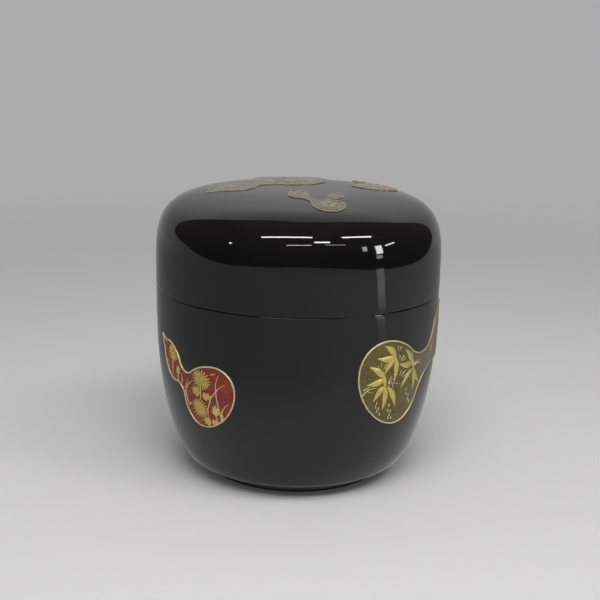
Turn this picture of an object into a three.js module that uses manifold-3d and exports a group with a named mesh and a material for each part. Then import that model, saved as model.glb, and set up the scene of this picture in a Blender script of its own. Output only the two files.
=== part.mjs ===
// Lacquered natsume tea caddy: a turned wooden cup with a standing rim, and a deep lid that drops over the rim.
// Both halves are a turned wood core under a black lacquer coat. Raised lacquer gourds decorate the body and the lid.
// Millimetres, +Z up, origin at the centre of the foot on the surface that the caddy stands on.

import * as THREE from 'three';
import { mergeVertices } from 'three/addons/utils/BufferGeometryUtils.js';
import Module from 'manifold-3d';

const wasm = await Module();
wasm.setup();

// Overall form
const greatestRadius = 33;
const seamHeight = 43.4;
const lidHeight = 22.6;
const lidBellyRise = 1.3;
const lidBellySwell = 0.05;
const footRadius = 21.7;

// Lacquer, wood and fits
const coatThickness = 0.4;
const lidWall = 2.8;
const lidCeiling = 3.2;
const lidClearance = 0.15;
const rimWall = 2.2;
const rimStand = 11;
const boreOverRim = 0.8;
const floorThickness = 4.4;
const seamEase = 0.15;
const lipEase = 0.5;

// Underside
const footRingWidth = 3.2;
const footHollowDepth = 0.7;
const footHollowSlope = 0.9;

// Raised gourds: a coloured field of built-up lacquer inside a gold line
const goldLineWidth = 0.4;
const goldLineRise = 0.3;
const fieldRise = 0.2;
const gourdBond = 0.02;

// Hollow of the cup
const hollowFloorRadius = 15;
const hollowStraightHeight = 27;

// Curves of the turned walls, as exponents of their superellipses
const bodySwellExponent = 2.71;
const bodyTuckExponent = 0.593;
const domeFlatnessExponent = 4.6;
const shoulderSquarenessExponent = 4.75;
const hollowSwellExponent = 2.3;
const hollowTuckExponent = 0.5;
const ceilingFlatnessExponent = 3.6;
const ceilingSquarenessExponent = 2.9;
const levelCrowdingExponent = 1.7;

// Facets
const turns = 40;
const bodySteps = 8;
const hollowSteps = 6;
const domeSteps = 7;
const ceilingSteps = 5;
const bulbSteps = 7;
const topBulbSteps = 4;
const waistSteps = 3;

const caddyHeight = seamHeight + lidHeight;
const seamRadius = greatestRadius - lidBellySwell;
const lidBellyHeight = seamHeight + lidBellyRise;
const seamSeatOuterRadius = seamRadius - seamEase;
const lidBoreRadius = seamRadius - lidWall;
const rimOuterRadius = lidBoreRadius - lidClearance;
const rimInnerRadius = rimOuterRadius - rimWall;
const rimTop = seamHeight + rimStand;
const ceilingSpringHeight = rimTop + boreOverRim;

const point = (x, y) => new THREE.Vector2(x, y);

// A wall that rises from a narrow foot to its full radius
function swellingWall(footR, footZ, fullR, fullZ, swell, tuck, steps) {
  const wall = [];
  for (let i = 0; i <= steps; i++) {
    const climb = (i / steps) ** levelCrowdingExponent;
    wall.push(point(
      footR + (fullR - footR) * (1 - (1 - climb) ** swell) ** tuck,
      footZ + (fullZ - footZ) * climb,
    ));
  }
  return wall;
}

// A dome from its full radius up to a crown on the axis
function dome(fullR, springZ, crownZ, flatness, squareness, steps) {
  const arch = [];
  for (let i = 0; i <= steps; i++) {
    const angle = (Math.PI / 2) * (i / steps);
    const r = i === steps ? 0 : fullR * Math.cos(angle) ** (2 / flatness);
    arch.push(point(r, springZ + (crownZ - springZ) * Math.sin(angle) ** (2 / squareness)));
  }
  return arch;
}

// The same line moved sideways, to the right of its own direction for a positive distance
function offsetLine(line, distance) {
  return line.map((p, i) => {
    const before = line[Math.max(i - 1, 0)];
    const after = line[Math.min(i + 1, line.length - 1)];
    const along = after.clone().sub(before).normalize();
    return point(p.x + along.y * distance, p.y - along.x * distance);
  });
}

// Outer faces of the closed caddy
const bodyOutside = swellingWall(
  footRadius, 0, seamRadius, seamHeight,
  bodySwellExponent, bodyTuckExponent, bodySteps,
);
const bodyWoodOutside = offsetLine(bodyOutside, -coatThickness);
bodyWoodOutside[0].set(footRadius, coatThickness);
bodyWoodOutside[bodySteps].set(seamRadius - coatThickness, seamHeight - coatThickness);

const lidOutside = [
  point(seamRadius, seamHeight),
  ...dome(
    greatestRadius, lidBellyHeight, caddyHeight,
    domeFlatnessExponent, shoulderSquarenessExponent, domeSteps,
  ),
];
const lidWoodOutside = offsetLine(lidOutside, -coatThickness);
lidWoodOutside[0].set(seamRadius - coatThickness, seamHeight + coatThickness);
lidWoodOutside[lidWoodOutside.length - 1].set(0, caddyHeight - coatThickness);

// Inner faces
const hollow = swellingWall(
  hollowFloorRadius, floorThickness, rimInnerRadius, hollowStraightHeight,
  hollowSwellExponent, hollowTuckExponent, hollowSteps,
);
const hollowWood = offsetLine(hollow, coatThickness);
hollowWood[0].set(hollowFloorRadius, floorThickness - coatThickness);
hollowWood[hollowSteps].set(rimInnerRadius + coatThickness, hollowStraightHeight);

const lidHollow = dome(
  lidBoreRadius, ceilingSpringHeight, caddyHeight - lidCeiling,
  ceilingFlatnessExponent, ceilingSquarenessExponent, ceilingSteps,
);
const lidHollowWood = offsetLine(lidHollow, coatThickness);
lidHollowWood[0].set(lidBoreRadius + coatThickness, ceilingSpringHeight);
lidHollowWood[ceilingSteps].set(0, caddyHeight - lidCeiling + coatThickness);

// Underside of the foot: a flat ring round a shallow hollow
const footInnerRadius = footRadius - footRingWidth;
const underside = [
  point(0, footHollowDepth),
  point(footInnerRadius - footHollowSlope, footHollowDepth),
  point(footInnerRadius, 0),
  point(footRadius, 0),
];
const undersideWood = underside.map((p) => point(p.x, p.y + coatThickness));

// Standing rim over the seam ledge
const rimWoodOuter = rimOuterRadius - coatThickness;
const rimWoodInner = rimInnerRadius + coatThickness;
const rimWoodTop = rimTop - coatThickness;
const ledgeWood = seamHeight - coatThickness;
const lipWoodEase = lipEase - coatThickness / 2;

// A solid of revolution. The profile runs round its section with the solid on its left.
function turned(profile, closed) {
  const outline = closed ? [...profile, profile[0].clone()] : profile;
  const geometry = new THREE.LatheGeometry(outline, turns);
  geometry.rotateX(Math.PI / 2);
  return geometry;
}

const lacquerBlack = new THREE.MeshStandardMaterial({ color: 0x0b0b0c, roughness: 0.06, metalness: 0 });
const lacquerInside = new THREE.MeshStandardMaterial({ color: 0x0c0b0b, roughness: 0.12, metalness: 0 });
const wood = new THREE.MeshStandardMaterial({ color: 0xa9794c, roughness: 0.6, metalness: 0 });
const lacquerRed = new THREE.MeshStandardMaterial({ color: 0x7c2017, roughness: 0.25, metalness: 0 });
const lacquerOlive = new THREE.MeshStandardMaterial({ color: 0x55491f, roughness: 0.3, metalness: 0.3 });
const gold = new THREE.MeshStandardMaterial({ color: 0xd8b765, roughness: 0.35, metalness: 0.8 });

// The gourds. Each lies with its large bulb at a place and points its stem along a heading, in degrees
// anticlockwise from rightwards. Lengths and places are shares of the greatest radius, but a height on the
// body is a share of the seam height. A bearing goes round the body from the front, in degrees to the right.
// Plumpness widens a gourd across its own length, slant leans its far side towards the stem, and bend curves it.
const bodyGourds = [
  {
    name: 'chrysanthemum', field: lacquerRed, lengthShare: 0.71, bulbShare: 0.301, topBulbShare: 0.166,
    waistRoundingShare: 0.095, plumpness: 1.106, slant: 0.266, bendShare: -0.585,
    bearing: -36.3, heightShare: 0.542, heading: 171.5,
  },
  {
    name: 'bamboo', field: lacquerOlive, lengthShare: 1.12, bulbShare: 0.2485, topBulbShare: 0.16,
    waistRoundingShare: 0.195, plumpness: 1.106, slant: -0.243, bendShare: 0.47,
    bearing: 40.5, heightShare: 0.631, heading: 3.6,
  },
  {
    name: 'plum', field: lacquerRed, lengthShare: 0.94, bulbShare: 0.285, topBulbShare: 0.168,
    waistRoundingShare: 0.11, plumpness: 1.04, slant: -0.16, bendShare: 0.26,
    bearing: 176, heightShare: 0.53, heading: 18,
  },
];
const lidGourds = [
  {
    name: 'large', field: lacquerOlive, lengthShare: 1.03, bulbShare: 0.265, topBulbShare: 0.165,
    waistRoundingShare: 0.15, plumpness: 1, slant: 0, bendShare: 0,
    acrossShare: -0.076, backShare: 0.379, heading: 228,
  },
  {
    name: 'red', field: lacquerRed, lengthShare: 0.62, bulbShare: 0.27, topBulbShare: 0.17,
    waistRoundingShare: 0.13, plumpness: 1, slant: 0, bendShare: 0.12,
    acrossShare: 0.53, backShare: 0.167, heading: 92,
  },
  {
    name: 'small', field: lacquerOlive, lengthShare: 0.533, bulbShare: 0.216, topBulbShare: 0.185,
    waistRoundingShare: 0.2, plumpness: 1, slant: 0, bendShare: -0.6,
    acrossShare: 0.184, backShare: -0.645, heading: 145,
  },
];
const stemShare = 0.08;
const stemHalfAngle = 24;

// How far the prism that cuts a body gourd reaches from the axis, in shares of the greatest radius
const prismInnerShare = 0.5;
const prismOuterShare = 1.5;

const caddy = new THREE.Group();
const body = new THREE.Group();
const lid = new THREE.Group();
caddy.add(body, lid);

function place(half, name, geometry, material) {
  const mesh = new THREE.Mesh(geometry, material);
  mesh.name = name;
  half.add(mesh);
}

function addBodyCoats() {
  place(body, 'body_wood_core', turned([
    ...undersideWood,
    ...bodyWoodOutside.slice(1),
    point(rimWoodOuter, ledgeWood),
    point(rimWoodOuter, rimWoodTop - lipWoodEase),
    point(rimWoodOuter - lipWoodEase, rimWoodTop),
    point(rimWoodInner + lipWoodEase, rimWoodTop),
    point(rimWoodInner, rimWoodTop - lipWoodEase),
    ...hollowWood.slice().reverse(),
    point(0, floorThickness - coatThickness),
  ]), wood);
  place(body, 'body_outer_lacquer', turned([
    ...bodyOutside.slice(0, bodySteps),
    point(seamRadius, seamHeight - seamEase),
    point(seamSeatOuterRadius, seamHeight),
    point(rimOuterRadius, seamHeight),
    point(rimOuterRadius, ledgeWood),
    ...bodyWoodOutside.slice().reverse(),
  ], true), lacquerBlack);
  place(body, 'body_inner_lacquer', turned([
    point(0, floorThickness - coatThickness),
    ...hollowWood,
    point(rimWoodInner, rimWoodTop - lipWoodEase),
    point(rimWoodInner + lipWoodEase, rimWoodTop),
    point(rimWoodOuter - lipWoodEase, rimWoodTop),
    point(rimWoodOuter, rimWoodTop - lipWoodEase),
    point(rimWoodOuter, ledgeWood),
    point(rimOuterRadius, ledgeWood),
    point(rimOuterRadius, rimTop - lipEase),
    point(rimOuterRadius - lipEase, rimTop),
    point(rimInnerRadius + lipEase, rimTop),
    point(rimInnerRadius, rimTop - lipEase),
    ...hollow.slice().reverse(),
    point(0, floorThickness),
  ]), lacquerInside);
  place(body, 'foot_lacquer', turned([
    ...underside,
    ...undersideWood.slice().reverse(),
  ]), lacquerBlack);
}

function addLidCoats() {
  const lidBoreWood = lidBoreRadius + coatThickness;
  const lidLipWood = seamHeight + coatThickness;
  place(lid, 'lid_wood_core', turned([
    ...lidHollowWood.slice().reverse(),
    point(lidBoreWood, lidLipWood),
    ...lidWoodOutside,
  ]), wood);
  place(lid, 'lid_outer_lacquer', turned([
    ...lidWoodOutside.slice().reverse(),
    point(seamRadius - coatThickness, seamHeight),
    point(seamSeatOuterRadius, seamHeight),
    point(seamRadius, seamHeight + seamEase),
    ...lidOutside.slice(1),
  ]), lacquerBlack);
  place(lid, 'lid_inner_lacquer', turned([
    ...lidHollow.slice().reverse(),
    point(lidBoreRadius, seamHeight),
    point(seamRadius - coatThickness, seamHeight),
    point(seamRadius - coatThickness, lidLipWood),
    point(lidBoreWood, lidLipWood),
    ...lidHollowWood,
  ]), lacquerInside);
}

// A closed mesh as a manifold-3d solid, and back
function solidOf(geometry) {
  const bare = geometry.clone();
  bare.deleteAttribute('normal');
  bare.deleteAttribute('uv');
  const merged = mergeVertices(bare);
  const corners = merged.index.array;
  const faces = [];
  for (let i = 0; i < corners.length; i += 3) {
    const face = corners.slice(i, i + 3);
    if (new Set(face).size === face.length) faces.push(...face);
  }
  return new wasm.Manifold(new wasm.Mesh({
    numProp: 3,
    vertProperties: new Float32Array(merged.attributes.position.array),
    triVerts: new Uint32Array(faces),
  }));
}

function geometryOf(solid) {
  const mesh = solid.getMesh();
  const geometry = new THREE.BufferGeometry();
  geometry.setAttribute('position', new THREE.BufferAttribute(mesh.vertProperties, 3));
  geometry.setIndex(new THREE.BufferAttribute(mesh.triVerts, 1));
  return geometry;
}

function arc(centre, radius, fromAngle, toAngle, steps) {
  const points = [];
  for (let i = 0; i <= steps; i++) {
    const angle = fromAngle + (toAngle - fromAngle) * (i / steps);
    points.push(point(centre.x + radius * Math.cos(angle), centre.y + radius * Math.sin(angle)));
  }
  return points;
}

// A gourd that points along +X from the centre of its large bulb: two bulbs, a waist whose sides are arcs that
// touch both bulbs, and a pointed stem. A margin draws the whole outline inwards. It runs anticlockwise.
function gourdOutline(gourd, margin) {
  const length = greatestRadius * gourd.lengthShare;
  const bulb = length * gourd.bulbShare;
  const topBulb = length * gourd.topBulbShare;
  const rounding = length * gourd.waistRoundingShare;
  const top = point(length - bulb - topBulb, 0);
  const toWaist = bulb + rounding;
  const waistToTop = topBulb + rounding;
  const waistAngle = Math.acos((top.x ** 2 + toWaist ** 2 - waistToTop ** 2) / (2 * top.x * toWaist));
  const waist = point(toWaist * Math.cos(waistAngle), toWaist * Math.sin(waistAngle));
  const topAngle = Math.atan2(waist.y, waist.x - top.x);
  const stemAngle = THREE.MathUtils.degToRad(stemHalfAngle);
  const upperSide = [
    ...arc(point(0, 0), bulb - margin, Math.PI, waistAngle, bulbSteps),
    ...arc(waist, rounding + margin, Math.PI + waistAngle, Math.PI + topAngle, waistSteps).slice(1, -1),
    ...arc(top, topBulb - margin, topAngle, stemAngle, topBulbSteps),
    point(length * (1 + stemShare) - bulb - margin / Math.sin(stemAngle), 0),
  ];
  const lowerSide = upperSide.slice(1, -1).reverse().map((p) => point(p.x, -p.y));
  const heading = THREE.MathUtils.degToRad(gourd.heading);
  return [...upperSide, ...lowerSide].reverse().map((p) => {
    const wide = p.y * gourd.plumpness;
    const leaning = p.x + wide * gourd.slant;
    const bend = (gourd.bendShare * Math.max(leaning, 0) ** 2) / length;
    return point(leaning, wide + bend).rotateAround(point(0, 0), heading);
  });
}

// A prism whose sides run straight out from the axis of the caddy. Its outline is drawn on the unrolled body.
function radialPrism(outline) {
  const inner = greatestRadius * prismInnerShare;
  const outer = greatestRadius * prismOuterShare;
  const corners = [inner, outer].flatMap((r) => outline.flatMap((p) => {
    const bearing = p.x / greatestRadius;
    return [r * Math.sin(bearing), -r * Math.cos(bearing), p.y];
  }));
  const count = outline.length;
  const faces = THREE.ShapeUtils.triangulateShape(outline, []).flatMap(
    ([a, b, c]) => [c, b, a, count + a, count + b, count + c],
  );
  for (let i = 0; i < count; i++) {
    const next = (i + 1) % count;
    faces.push(i, next, count + next, i, count + next, count + i);
  }
  const geometry = new THREE.BufferGeometry();
  geometry.setAttribute('position', new THREE.Float32BufferAttribute(corners, 3));
  geometry.setIndex(faces);
  return solidOf(geometry);
}

// An upright prism through the top of the lid
function uprightPrism(outline) {
  const geometry = new THREE.ExtrudeGeometry(new THREE.Shape(outline), {
    depth: caddyHeight, bevelEnabled: false,
  });
  geometry.translate(0, 0, lidBellyHeight);
  return solidOf(geometry);
}

// A skin of built-up lacquer over a whole outer face, to be cut to the gourds. A thin bond lies under it.
function bodySkin(rise) {
  const seat = offsetLine(bodyOutside, gourdBond);
  return solidOf(turned([...offsetLine(bodyOutside, rise), ...seat.reverse()], true));
}

function lidSkin(rise) {
  const seat = offsetLine(lidOutside, gourdBond);
  seat[seat.length - 1].set(0, caddyHeight + gourdBond);
  const raised = offsetLine(lidOutside, rise);
  raised[raised.length - 1].set(0, caddyHeight + rise);
  return solidOf(turned([...seat.reverse(), ...raised]));
}

function addGourds(half, halfName, gourds, skin, prism, placing) {
  const lineSkin = skin(goldLineRise);
  const fieldSkin = skin(fieldRise);
  for (const gourd of gourds) {
    const at = placing(gourd);
    const cut = (margin) => prism(gourdOutline(gourd, margin).map((p) => p.add(at)));
    const field = cut(goldLineWidth);
    const line = cut(0).subtract(field);
    const name = `${halfName}_gourd_${gourd.name}`;
    place(half, `${name}_field`, geometryOf(fieldSkin.intersect(field)), gourd.field);
    place(half, `${name}_gold_line`, geometryOf(lineSkin.intersect(line)), gold);
  }
}

addBodyCoats();
addLidCoats();
addGourds(body, 'body', bodyGourds, bodySkin, radialPrism, (gourd) => point(
  greatestRadius * THREE.MathUtils.degToRad(gourd.bearing), seamHeight * gourd.heightShare,
));
addGourds(lid, 'lid', lidGourds, lidSkin, uprightPrism, (gourd) => point(
  greatestRadius * gourd.acrossShare, greatestRadius * gourd.backShare,
));

export default caddy;
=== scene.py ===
"""A lacquered natsume tea caddy: a turned cup under a deep lid, with raised gourds in coloured lacquer and gold."""
from math import acos, atan2, cos, exp, hypot, pi, radians, sin, tau

import bpy
from mathutils import Matrix, Vector


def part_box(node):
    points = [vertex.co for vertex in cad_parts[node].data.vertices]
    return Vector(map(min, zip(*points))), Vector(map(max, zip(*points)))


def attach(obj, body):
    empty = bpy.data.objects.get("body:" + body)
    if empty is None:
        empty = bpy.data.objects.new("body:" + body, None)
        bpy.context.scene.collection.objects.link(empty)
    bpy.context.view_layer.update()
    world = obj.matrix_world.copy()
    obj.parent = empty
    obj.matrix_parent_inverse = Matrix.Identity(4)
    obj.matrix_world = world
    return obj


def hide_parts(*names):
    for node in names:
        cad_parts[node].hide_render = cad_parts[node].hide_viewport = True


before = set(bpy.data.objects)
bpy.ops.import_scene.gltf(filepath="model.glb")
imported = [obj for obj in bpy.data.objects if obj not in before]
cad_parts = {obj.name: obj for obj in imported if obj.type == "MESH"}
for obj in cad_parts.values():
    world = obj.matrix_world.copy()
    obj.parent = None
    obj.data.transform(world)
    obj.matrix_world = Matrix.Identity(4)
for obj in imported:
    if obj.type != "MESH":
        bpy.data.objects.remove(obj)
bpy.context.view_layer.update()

MM = 0.001

# ---- Sizes of the caddy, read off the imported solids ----
seam_radius, seam_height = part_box("body_outer_lacquer")[1].xz
greatest_radius, caddy_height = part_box("lid_outer_lacquer")[1].xz
rim_radius, rim_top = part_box("body_inner_lacquer")[1].xz
foot_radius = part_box("foot_lacquer")[1].x
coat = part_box("body_wood_core")[0].z
cup_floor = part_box("body_inner_lacquer")[0].z + coat

# The turner's other sizes
rim_wall = 2.2 * MM
lid_gap = 0.15 * MM
belly_rise = 1.3 * MM
lid_ceiling = 3.2 * MM
bore_over_rim = 0.8 * MM
foot_ring = 3.2 * MM
foot_hollow = 0.7 * MM
foot_slope = 0.9 * MM
tread_inset = 0.6 * MM
lining_foot = 1.0 * MM
undercut_height = 2.9 * MM
foot_ease = 0.3 * MM
seam_ease = 0.26 * MM
lip_ease = 0.6 * MM
cup_floor_radius = 15 * MM
cup_straight_height = 27 * MM

rim_bore = rim_radius - rim_wall
lid_bore = rim_radius + lid_gap
belly_height = seam_height + belly_rise
ceiling_spring = rim_top + bore_over_rim

# Exponents of the turned curves
BODY_SWELL, BODY_TUCK = 2.71, 0.593
DOME_FLATNESS, SHOULDER_SQUARENESS = 4.6, 4.75
CUP_SWELL, CUP_TUCK = 2.3, 0.5
CEILING_FLATNESS, CEILING_SQUARENESS = 3.6, 2.9

# The wall turns under to its foot: millimetres out from the foot's edge, and up
UNDERCUT = [
    (-0.45, 0), (-0.4, 0.06), (-0.4, 0.5), (-0.4, 1.3), (-0.4, 1.42), (0.2, 1.75), (1, 2.05), (2.0, 2.35),
    (2.9, 2.62), (3.4, 2.76),
]

# Facets and profile steps of the turned pieces, and what is merged and smoothed
LACQUER_TURNS, WOOD_TURNS = 256, 96
WALL_STEPS, CUP_STEPS, DOME_STEPS, CEILING_STEPS, LIP_STEPS = 64, 40, 88, 48, 6
STEP_CROWDING = 1.8
TURNED_MERGE, TURNED_CREASE = 0.004 * MM, 40
DRAWN_MERGE, DRAWN_CREASE = 0.003 * MM, 50


# ---- Turned curves ----
def body_radius(z):
    """The outside of the cup at a height."""
    climb = min(max(z / seam_height, 0), 1)
    return foot_radius + (seam_radius - foot_radius) * (1 - (1 - climb) ** BODY_SWELL) ** BODY_TUCK


def lid_height(r):
    """The top of the lid at a radius."""
    share = min(max(r / greatest_radius, 0), 1)
    rise = (1 - share ** DOME_FLATNESS) ** (1 / SHOULDER_SQUARENESS)
    return belly_height + (caddy_height - belly_height) * rise


def swelling_wall(foot_r, foot_z, full_r, full_z, swell, tuck, steps):
    """A wall that climbs from its foot to its full radius, with levels crowded at the foot."""
    wall = []
    for i in range(steps + 1):
        climb = (i / steps) ** STEP_CROWDING
        spread = (1 - (1 - climb) ** swell) ** tuck
        wall.append((foot_r + (full_r - foot_r) * spread, foot_z + (full_z - foot_z) * climb))
    return wall


def dome_line(full_r, spring_z, crown_z, flatness, squareness, steps):
    """A dome from its full radius up to a crown on the axis."""
    line = []
    for i in range(steps + 1):
        angle = pi / 2 * i / steps
        r = full_r * cos(angle) ** (2 / flatness) if i < steps else 0
        line.append((r, spring_z + (crown_z - spring_z) * sin(angle) ** (2 / squareness)))
    return line


def moved_aside(line, distance):
    """The same line moved to its left."""
    moved = []
    for i, (r, z) in enumerate(line):
        before, after = line[max(i - 1, 0)], line[min(i + 1, len(line) - 1)]
        along = Vector((after[0] - before[0], after[1] - before[1])).normalized()
        moved.append((r - along.y * distance, z + along.x * distance))
    return moved


def rounded_corner(corner, before, after, radius, steps=4):
    """A corner eased between its two neighbours."""
    corner = Vector(corner)
    to_before = (Vector(before) - corner).normalized() * radius
    to_after = (Vector(after) - corner).normalized() * radius
    points = []
    for i in range(steps + 1):
        share = i / steps
        p = corner + to_before * (1 - share) ** 2 + to_after * share ** 2
        points.append((p.x, p.y))
    return points


# ---- Modelling by hand ----
def just_added(name):
    """The piece that was added last, under its name."""
    piece = bpy.context.object
    piece.name = name
    return piece


def select(*pieces):
    bpy.ops.object.select_all(action="DESELECT")
    for piece in pieces:
        piece.select_set(True)
    bpy.context.view_layer.objects.active = pieces[0]


def edit_all():
    bpy.ops.object.mode_set(mode="EDIT")
    bpy.ops.mesh.select_all(action="SELECT")


def close_mesh(merge, crease):
    """Merges what meets, turns faces outwards, leaves edit mode and smooths all but creases."""
    bpy.ops.mesh.select_all(action="SELECT")
    bpy.ops.mesh.remove_doubles(threshold=merge)
    bpy.ops.mesh.normals_make_consistent(inside=False)
    bpy.ops.object.mode_set(mode="OBJECT")
    bpy.ops.object.shade_smooth_by_angle(angle=radians(crease))


def turn_piece(name, profile, turns=LACQUER_TURNS, closed=False):
    """Draws a profile by extruding a point, spins it round the axis and closes it."""
    bpy.ops.mesh.primitive_plane_add(size=MM)
    piece = just_added(name)
    piece.data.name = name
    bpy.ops.object.mode_set(mode="EDIT")
    bpy.ops.mesh.merge(type="CENTER")
    last = Vector((profile[0][0], 0, profile[0][1]))
    bpy.ops.transform.translate(value=last)
    path = profile[1:] + (profile[:1] if closed else [])
    for r, z in path:
        place = Vector((r, 0, z))
        bpy.ops.mesh.extrude_vertices_move(TRANSFORM_OT_translate={"value": place - last})
        last = place
    bpy.ops.mesh.select_all(action="SELECT")
    bpy.ops.mesh.spin(steps=turns, angle=tau, center=(0, 0, 0), axis=(0, 0, 1))
    close_mesh(TURNED_MERGE, TURNED_CREASE)
    return piece


def finish_piece(piece, body, slot, finish, *nodes):
    """A piece's finish, the body it rides on and the solids it stands for."""
    piece.data.materials.clear()
    piece.data.materials.append(finish.material)
    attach(piece, body)
    if nodes:
        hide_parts(*nodes)


# ---- Turned pieces ----
def turn_body():
    full_wall = swelling_wall(foot_radius, 0, seam_radius, seam_height, BODY_SWELL, BODY_TUCK, WALL_STEPS)
    wall = [p for p in full_wall if p[1] > undercut_height]
    tread = foot_radius - tread_inset
    undercut = [(foot_radius + out * MM, up * MM) for out, up in UNDERCUT]
    wood_wall = [p for p in moved_aside(full_wall, coat) if p[1] > undercut_height + coat]
    wood_wall = [(tread, coat), (tread, lining_foot), *wood_wall[:-1], (seam_radius - coat, seam_height - coat)]
    outer = [
        (tread, 0), *undercut, *wall[:-1],
        *rounded_corner(wall[-1], wall[-2], (rim_radius, seam_height), seam_ease),
        (rim_radius, seam_height), (rim_radius, seam_height - coat), *reversed(wood_wall),
    ]
    outer_lacquer = turn_piece("body_black_lacquer", outer, closed=True)

    ring = foot_radius - foot_ring
    underside = [(0, foot_hollow), (ring - foot_slope, foot_hollow), (ring, 0), (tread, 0)]
    foot = [
        (0, foot_hollow), (ring - foot_slope - lip_ease, foot_hollow),
        *rounded_corner(underside[1], underside[0], underside[2], foot_ease),
        *rounded_corner(underside[2], underside[1], underside[3], foot_ease), (tread, 0), (tread, coat),
        *[(r, z + coat) for r, z in reversed(underside[:3])],
    ]
    foot_lacquer = turn_piece("foot_black_lacquer", foot)

    cup = swelling_wall(
        cup_floor_radius, cup_floor, rim_bore, cup_straight_height, CUP_SWELL, CUP_TUCK, CUP_STEPS)
    cup_wood = moved_aside(cup, -coat)
    cup_wood[0] = (cup_floor_radius, cup_floor - coat)
    cup_wood[-1] = (rim_bore + coat, cup_straight_height)
    wide, narrow, top, ease = rim_radius - coat, rim_bore + coat, rim_top - coat, lip_ease / 2
    wood_rim = [
        (wide, seam_height - coat), (wide, top - ease), (wide - ease, top), (narrow + ease, top),
        (narrow, top - ease),
    ]
    inner = [
        (0, cup_floor - coat), *cup_wood, *reversed(wood_rim), (rim_radius, seam_height - coat),
        (rim_radius, rim_top - 2 * lip_ease),
        *rounded_corner((rim_radius, rim_top), (rim_radius, 0), (0, rim_top), lip_ease, LIP_STEPS),
        *rounded_corner((rim_bore, rim_top), (rim_radius, rim_top), (rim_bore, 0), lip_ease, LIP_STEPS),
        (rim_bore, rim_top - 2 * lip_ease), *reversed(cup), (cup_floor_radius / 2, cup_floor),
        (0, cup_floor),
    ]
    inner_lacquer = turn_piece("cup_inner_lacquer", inner)

    core = [
        *[(r, z + coat) for r, z in underside[:3]], *wood_wall, *wood_rim, *reversed(cup_wood),
        (0, cup_floor - coat),
    ]
    wood_core = turn_piece("cup_turned_wood", core, WOOD_TURNS)
    return outer_lacquer, foot_lacquer, inner_lacquer, wood_core


def turn_lid():
    wall = dome_line(
        greatest_radius, belly_height, caddy_height, DOME_FLATNESS, SHOULDER_SQUARENESS, DOME_STEPS)
    wood_wall = moved_aside(wall, coat)
    wood_wall[0] = (greatest_radius - coat, belly_height)
    wood_wall[-1] = (0, caddy_height - coat)
    seat = seam_radius - coat
    corner = (seam_radius, seam_height)
    outer = [
        *reversed(wood_wall), (seat, seam_height + coat), (seat, seam_height),
        *rounded_corner(corner, (seat, seam_height), wall[0], seam_ease), *wall,
    ]
    outer_lacquer = turn_piece("lid_black_lacquer", outer)

    bore = dome_line(
        lid_bore, ceiling_spring, caddy_height - lid_ceiling, CEILING_FLATNESS, CEILING_SQUARENESS,
        CEILING_STEPS)
    bore_wood = moved_aside(bore, -coat)
    bore_wood[0] = (lid_bore + coat, ceiling_spring)
    bore_wood[-1] = (0, caddy_height - lid_ceiling + coat)
    inner = [
        *reversed(bore), (lid_bore, seam_height + 2 * lip_ease),
        *rounded_corner((lid_bore, seam_height), (lid_bore, belly_height), (seat, seam_height), lip_ease / 2),
        (seat, seam_height), (seat, seam_height + coat), (lid_bore + coat, seam_height + coat), *bore_wood,
    ]
    inner_lacquer = turn_piece("lid_inner_coat", inner)

    core = [
        *reversed(bore_wood), (lid_bore + coat, seam_height + coat), (seat, seam_height + coat), *wood_wall,
    ]
    wood_core = turn_piece("lid_turned_wood", core, WOOD_TURNS)
    return outer_lacquer, inner_lacquer, wood_core


# ---- The gourds, drawn flat. Each lies with its large bulb's middle at a place and points its stem along a
# heading, in degrees anticlockwise from rightwards. Lengths are shares of the greatest radius. Plumpness
# widens a gourd across its length, slant leans its far side towards the stem, and bend curves it. ----
STEM_SHARE = 0.08
STEM_HALF_ANGLE = radians(24)
FIELD_RISE = 0.2 * MM
LINE_RISE = 0.3 * MM
LINE_WIDTH = 0.37 * MM
SINK = 0.06 * MM
SLOPE_STEP = 0.05 * MM
CROWN_SHARE, CROWN_REACH = 0.6, 0.5 * MM
TUBE = 0.25

GOURD_PARTS = (
    "half", "lacquer", "length", "bulb", "top_bulb", "waist", "plumpness", "slant", "bend", "across", "up",
    "heading",
)
GOURDS = {name: dict(zip(GOURD_PARTS, parts)) for name, *parts in (
    ("body_gourd_chrysanthemum", "body", "red", 0.71, 0.301, 0.166, 0.095, 1.106, 0.266, -0.585,
     greatest_radius * radians(-36.3), seam_height * 0.542, 171.5),
    ("body_gourd_bamboo", "body", "olive", 1.12, 0.2485, 0.16, 0.195, 1.106, -0.243, 0.47,
     greatest_radius * radians(40.5), seam_height * 0.631, 3.6),
    ("body_gourd_plum", "body", "red", 0.94, 0.285, 0.168, 0.11, 1.04, -0.16, 0.26,
     greatest_radius * radians(176), seam_height * 0.53, 18),
    ("lid_gourd_large", "lid", "olive", 1.03, 0.265, 0.165, 0.15, 1, 0, 0,
     greatest_radius * -0.076, greatest_radius * 0.379, 228),
    ("lid_gourd_red", "lid", "red", 0.62, 0.27, 0.17, 0.13, 1, 0, 0.12,
     greatest_radius * 0.53, greatest_radius * 0.167, 92),
    ("lid_gourd_small", "lid", "olive", 0.533, 0.216, 0.185, 0.2, 1, 0, -0.6,
     greatest_radius * 0.184, greatest_radius * -0.645, 145),
)}


def arc(centre, radius, start, end, steps):
    """Points of an arc."""
    angles = [start + (end - start) * i / steps for i in range(steps + 1)]
    return [Vector((centre[0] + radius * cos(a), centre[1] + radius * sin(a))) for a in angles]


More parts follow.
